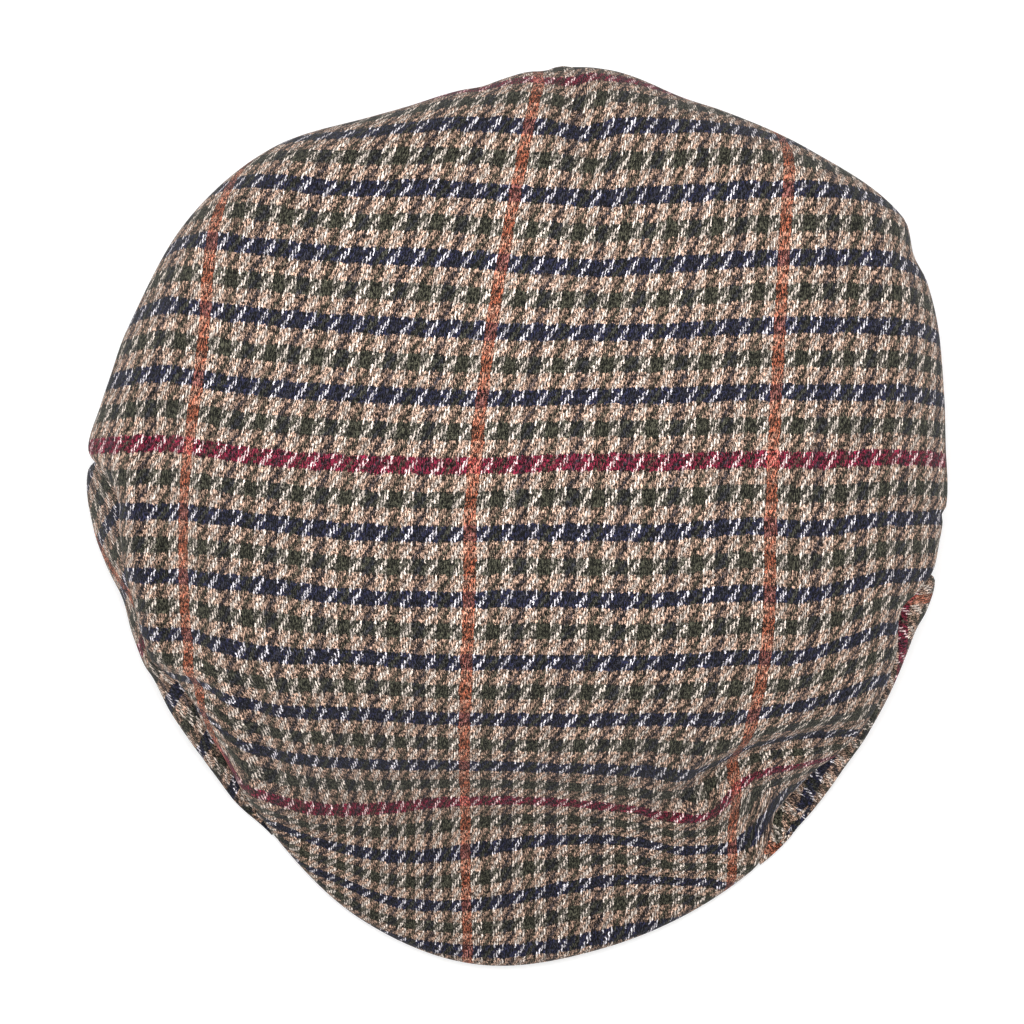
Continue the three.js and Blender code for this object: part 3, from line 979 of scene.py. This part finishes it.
def make_tweed():
    material = bpy.data.materials.new("tweed")
    material.use_nodes = True
    Value.tree = material.node_tree
    Value.tree.nodes.clear()
    uv = new_node("ShaderNodeUVMap", {"uv_map": THREAD_MAP})
    parts = new_node("ShaderNodeSeparateXYZ", None, {"Vector": Value(uv.outputs[0])})
    u, v = Value(parts.outputs[0]), Value(parts.outputs[1])

    end, pick, warp_up, side, along = twill(u, v)
    curl, stray, grain = loose_fibres(u, v)
    warp_colour, warp_dark, _, rust = stripe(end, "cream", "navy_warp", "rust")
    weft_colour, weft_dark, deep, red = stripe(pick, "tan", "navy", "burgundy")
    light_warp = warp_up * (1.0 - warp_dark)
    light_on_dark = light_warp * weft_dark

    # Light and rust warp take on a breath of the deep rows they cross.
    haze = blend(red, COLOURS["haze_blue"], COLOURS["haze_pink"])
    haze_share = deep * ((1.0 - warp_dark) * HAZE_ON_LIGHT + rust * HAZE_ON_RUST)
    hazed_warp = blend(haze_share, warp_colour, haze)
    top = blend(warp_up, weft_colour, hazed_warp)
    other = blend(warp_up, warp_colour, weft_colour)

    # A float swells in its middle and dives at its ends.
    fall = between(light_warp, FALL_TO_SIDES[0], deep * THIN_OVER_DEEP + FALL_TO_SIDES[1])
    height = 1.0 - side * side * fall
    swell = along * (1.0 - along) * 4.0
    height = height * between(swell, between(light_warp, *END_HEIGHT), 1.0)
    crisp = spread(height + (grain - 0.5) * GRAIN_IN_EDGE, *CRISP_EDGE)
    loose = spread(height + (curl - 0.5) * CURL_IN_EDGE, *LOOSE_EDGE)
    cover = between(light_warp, loose, crisp)

    # The other thread's fibres stray over the top one. Rust is the hairiest yarn.
    over_weft = (1.0 - warp_dark) * (1.0 - deep) * LIGHT_WARP_OVER_WEFT
    over_weft = warp_dark * DARK_WARP_OVER_WEFT + over_weft
    over_warp = red * BURGUNDY_OVER_DARK_WARP + WEFT_OVER_DARK_WARP
    over_warp = warp_dark * (1.0 - rust) * over_warp
    straying = stray * between(warp_up, over_weft, over_warp)
    straying = straying + rust * between(warp_up, RUST_OVER_WEFT, WEFT_OVER_RUST)
    straying = straying + light_warp * WEFT_OVER_LIGHT_WARP
    # Woolly yarn is dark between its curling fibres, as painted shade; the light warp only varies
    # at random.
    woolly = curl * WOOLLY_CURL + grain * WOOLLY_GRAIN
    shade = between(light_warp, woolly, grain * SMOOTH_GRAIN + SMOOTH_BASE)
    seen = scaled(blend(straying, top, other), shade)

    # Between the top threads the other one shows, darkened with painted shade.
    under_share = grain * between(light_on_dark, *TOP_IN_UNDER)
    painted_gap_shade = curl * between(light_on_dark, *UNDER_CURL) + UNDER_BASE
    under = scaled(blend(under_share, other, top), painted_gap_shade)
    colour = blend(cover, under, seen)
    rust_gain = red * RUST_ON_BURGUNDY_GAIN - RUST_ON_DEEP_LOSS
    colour = scaled(colour, 1.0 + rust * deep * rust_gain)
    colour = scaled(colour, 1.0 + light_warp * deep * LIGHT_WARP_ON_DEEP_GAIN)
    dark_on_light = warp_dark * (1.0 - weft_dark) * (1.0 - rust)
    colour = scaled(colour, 1.0 - dark_on_light * DARK_WARP_ON_LIGHT_WEFT_LOSS)

    # Fine wool catches the light in specks, and some floats are paler than others.
    fleck = spread(noise("fleck", u, v), *NOISE_RANGE)
    fleck = fleck * between(light_warp, *FLECK_GAIN) + between(light_warp, *FLECK_BASE)
    colour = scaled(colour, fleck)
    thread = between(warp_up, pick + MOTTLE_SHIFT, end)
    mottle = speck(thread, floor((pick - end + 1.0) * (0.5 / FLOAT)))
    colour = scaled(colour, mottle * MOTTLE + (1.0 - MOTTLE / 2))

    bump = new_node(
        "ShaderNodeBump",
        None,
        {
            "Height": height + curl * CURL_IN_BUMP,
            "Strength": BUMP_STRENGTH,
            "Distance": BUMP_DEPTH * MM,
        },
    )
    shader = new_node(
        "ShaderNodeBsdfPrincipled",
        None,
        {
            "Base Color": colour,
            "Roughness": YARN_ROUGHNESS - curl * FIBRE_SHINE,
            "Specular IOR Level": SPECULAR,
            "Sheen Weight": SHEEN,
            "Sheen Roughness": SHEEN_ROUGHNESS,
            "Normal": Value(bump.outputs[0]),
        },
    )
    new_node("ShaderNodeOutputMaterial", None, {"Surface": Value(shader.outputs[0])})
    return material


# ---- the pieces ----

# Where the outer and the inner face of the top panel lie on its bake map: middle and reach.
OUTER_ON_MAP = (0.4, 0.395)
INNER_ON_MAP = (0.815, 0.18)

# Each side panel is cut with its cloth askew. The lean is the warp's angle from straight down
# the panel, at the front tip and at the back seam. The accents cross at one point of the
# panel, given by its angle and its distance down from the panel's upper edge.
CUTS = {
    "side_panel_left": {"tip_lean": 20, "back_lean": 0, "cross_angle": 345.5, "cross_down": 4.5},
    "side_panel_right": {"tip_lean": -70, "back_lean": -5, "cross_angle": 199.5, "cross_down": 4.5},
}
SIDE_STRETCH = 1.1  # the side panels are pulled out along their length


def make_top_panel():
    angles = sections(0, 360)[:-1]
    out, up = top_outline(angles)
    outer = to_points(angles, out, up)
    normals = grid_normals(outer, closed=True)
    normals[:, 0] = (0, 0, 1)  # where all the sections meet
    inner = outer - CLOTH * normals
    threads, laid_flat = top_threads(angles, out, up)
    laid_flat = laid_flat / np.abs(laid_flat).max()
    maps = [middle + laid_flat * reach for middle, reach in (OUTER_ON_MAP, INNER_ON_MAP)]
    return make_dome("top_panel_cloth", outer, inner, threads, *maps)


def side_threads(angles, out, up, cut):
    """Thread numbers over a side panel, laid out as the strip it was cut from."""
    points = to_points(angles, out, up)
    down = np.linalg.norm(np.diff(points, axis=1), axis=2)
    down = np.concatenate([np.zeros((len(out), 1)), np.cumsum(down, axis=1)], axis=1)
    widest_line = points[:, BULGE_RINGS]
    step = np.linalg.norm(np.diff(widest_line, axis=0), axis=1)
    back_seam = 360 + BACK_SEAM_ANGLE if angles[0] > 180 else BACK_SEAM_ANGLE
    from_back = np.abs(angles - back_seam)
    share = smooth(from_back / from_back.max())
    lean = np.radians(mix(cut["back_lean"], cut["tip_lean"], share))
    middle_lean = (lean[1:] + lean[:-1]) / 2
    along_u = np.concatenate([[0], np.cumsum(step * np.cos(middle_lean))]) / SIDE_STRETCH
    along_v = np.concatenate([[0], np.cumsum(-step * np.sin(middle_lean))])
    ends = along_u[:, None] - down * np.sin(lean)[:, None]
    picks = along_v[:, None] - down * np.cos(lean)[:, None]
    cross_lean = np.interp(cut["cross_angle"], angles, lean)
    cross_u = np.interp(cut["cross_angle"], angles, along_u)
    cross_v = np.interp(cut["cross_angle"], angles, along_v)
    cross_u = cross_u - cut["cross_down"] * math.sin(cross_lean)
    cross_v = cross_v - cut["cross_down"] * math.cos(cross_lean)
    return np.stack([(ends - cross_u) / END_PITCH, (picks - cross_v) / PICK_PITCH], axis=2)


def make_side_panel(name, start, end):
    angles = sections(start, end)
    out, up = side_outline(angles)
    outer = to_points(angles, out, up)
    normals = grid_normals(outer, closed=False)
    height = up[:, 0] - up[:, -1]
    wall = np.minimum(CLOTH, height * TIP_WALL_SHARE)
    hem_wall = mix(HEM, wall, over_peak(angles))
    first = outer.shape[1] - FOOT_RINGS - HEM_BLEND_RINGS
    hem_share = smooth((np.arange(outer.shape[1]) - first) / HEM_BLEND_RINGS)
    thickness = mix(wall[:, None], hem_wall[:, None], hem_share[None])
    inner = outer - thickness[:, :, None] * normals
    return make_strip(name + "_cloth", outer, inner, side_threads(angles, out, up, CUTS[name]))


def peak_outline(angles):
    """The peak's sections, as (out, up), one row a section.

    Each runs over the board, down onto the lip, round its edge and back along the underside.
    """
    root, rim = opening_reach(angles), rim_reach(angles)
    depth = mix(PEAK["corner_lip_depth"], PEAK["lip_depth"], on_rim(angles))
    board_end = rim - np.minimum(depth, (rim - root) / 2)
    lip_end = rim - PEAK["lip"]
    out = [mix(root, board_end, share) for share in np.linspace(0, 1, BOARD_RINGS)]
    out += [mix(board_end, lip_end, share) for share in np.linspace(STEP_SHARE, 1, BOARD_RINGS)]
    turn = np.linspace(0, math.pi, LIP_TURN_RINGS + 2)[1:-1]
    out += [rim - PEAK["lip"] * (1 - math.sin(t)) for t in turn]
    out += [mix(lip_end, root, share) for share in np.linspace(0, 1, UNDER_RINGS)]
    rise = [PEAK["thickness"]] * BOARD_RINGS + [PEAK["lip_height"]] * BOARD_RINGS
    rise += [PEAK["lip_height"] / 2 * (1 + math.cos(t)) for t in turn]
    rise += [0.0] * UNDER_RINGS
    out = np.stack(out, axis=1)
    return out, peak_underside(angles[:, None], out) + np.array(rise)


def make_peak():
    span = PEAK["solid_half_span"]
    angles = sections(PEAK["middle_angle"] - span, PEAK["middle_angle"] + span)
    points = to_points(angles, *peak_outline(angles))
    bays, size = points.shape[0] - 1, points.shape[1]
    faces = ring_faces(bays, size, closed=False) + closing_faces(bays, size)
    faces.append(list(range(size))[::-1])
    faces.append(list(range(bays * size, (bays + 1) * size)))
    threads = (points[:, :, :2] / (END_PITCH, PICK_PITCH)).reshape(-1, 2)
    return build_mesh("peak_cloth", points.reshape(-1, 3), faces, threads)


def dress(piece, node, material):
    piece.data.materials.append(material)
    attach(piece, "root")
    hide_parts(node)


tweed = make_tweed()
back_gap = math.degrees(GAP / 2 / float(edge["reach"](BACK_SEAM_ANGLE)))
spans = {
    "side_panel_left": (PEAK["left_notch"] + TIP_SETBACK, 360 + BACK_SEAM_ANGLE - back_gap),
    "side_panel_right": (BACK_SEAM_ANGLE + back_gap, PEAK["right_notch"] - TIP_SETBACK),
}
dress(make_top_panel(), "top_panel", tweed)
for side_name, (span_start, span_end) in spans.items():
    dress(make_side_panel(side_name, span_start, span_end), side_name, tweed)
dress(make_peak(), "peak", tweed)


# ---- the set, in metres ----

TABLE_SIZE = 6
TABLE_HEIGHT = -0.0003  # just under the hem
TABLE_GREY = 0.93
TABLE_ROUGHNESS = 0.9
TABLE_GLOW = 0.15  # keeps the table white right up to the cap
SKY_STRENGTH = 0.38
CAMERA_PLACE = (-0.002, 0.0087, 0.470)
CAMERA_LENS = 50
CAMERA_SENSOR = 36
CAMERA_CLIP_START = 0.01

# Name, place, target, size and power of each softbox.
LIGHTS = [
    ("key", (0, 0.04, 0.43), (0, 0.02, 0.03), 0.28, 2.15),
    ("left side", (0.75, 0.05, 0.18), (0, 0, 0.04), 0.5, 1.6),
    ("right side", (-0.75, 0.05, 0.18), (0, 0, 0.04), 0.5, 2.1),
]


def make_table():
    bpy.ops.mesh.primitive_plane_add(size=TABLE_SIZE, location=(0, 0, TABLE_HEIGHT))
    plane = bpy.context.object
    plane.name = "table"
    material = bpy.data.materials.new("pale table")
    material.use_nodes = True
    shader = material.node_tree.nodes["Principled BSDF"]
    shader.inputs["Base Color"].default_value = (TABLE_GREY, TABLE_GREY, TABLE_GREY, 1)
    shader.inputs["Roughness"].default_value = TABLE_ROUGHNESS
    shader.inputs["Emission Color"].default_value = (1, 1, 1, 1)
    shader.inputs["Emission Strength"].default_value = TABLE_GLOW
    plane.data.materials.append(material)


def add_softbox(name, place, target, size, power):
    light = bpy.data.lights.new(name, "AREA")
    light.shape = "SQUARE"
    light.size = size
    light.energy = power
    lamp = bpy.data.objects.new(name, light)
    bpy.context.scene.collection.objects.link(lamp)
    direction = Vector(np.subtract(target, place))
    lamp.location = place
    lamp.rotation_euler = direction.to_track_quat("-Z", "Y").to_euler()


def make_set():
    make_table()
    for light in LIGHTS:
        add_softbox(*light)
    world = bpy.data.worlds.new("studio")
    world.use_nodes = True
    sky = world.node_tree.nodes["Background"]
    sky.inputs["Color"].default_value = (1, 1, 1, 1)
    sky.inputs["Strength"].default_value = SKY_STRENGTH
    bpy.context.scene.world = world
    camera_data = bpy.data.cameras.new("camera")
    camera_data.lens = CAMERA_LENS
    camera_data.sensor_width = CAMERA_SENSOR
    camera_data.clip_start = CAMERA_CLIP_START
    camera = bpy.data.objects.new("camera", camera_data)
    camera.location = CAMERA_PLACE
    bpy.context.scene.collection.objects.link(camera)
    bpy.context.scene.camera = camera
    bpy.context.scene.view_settings.view_transform = "Standard"


make_set()
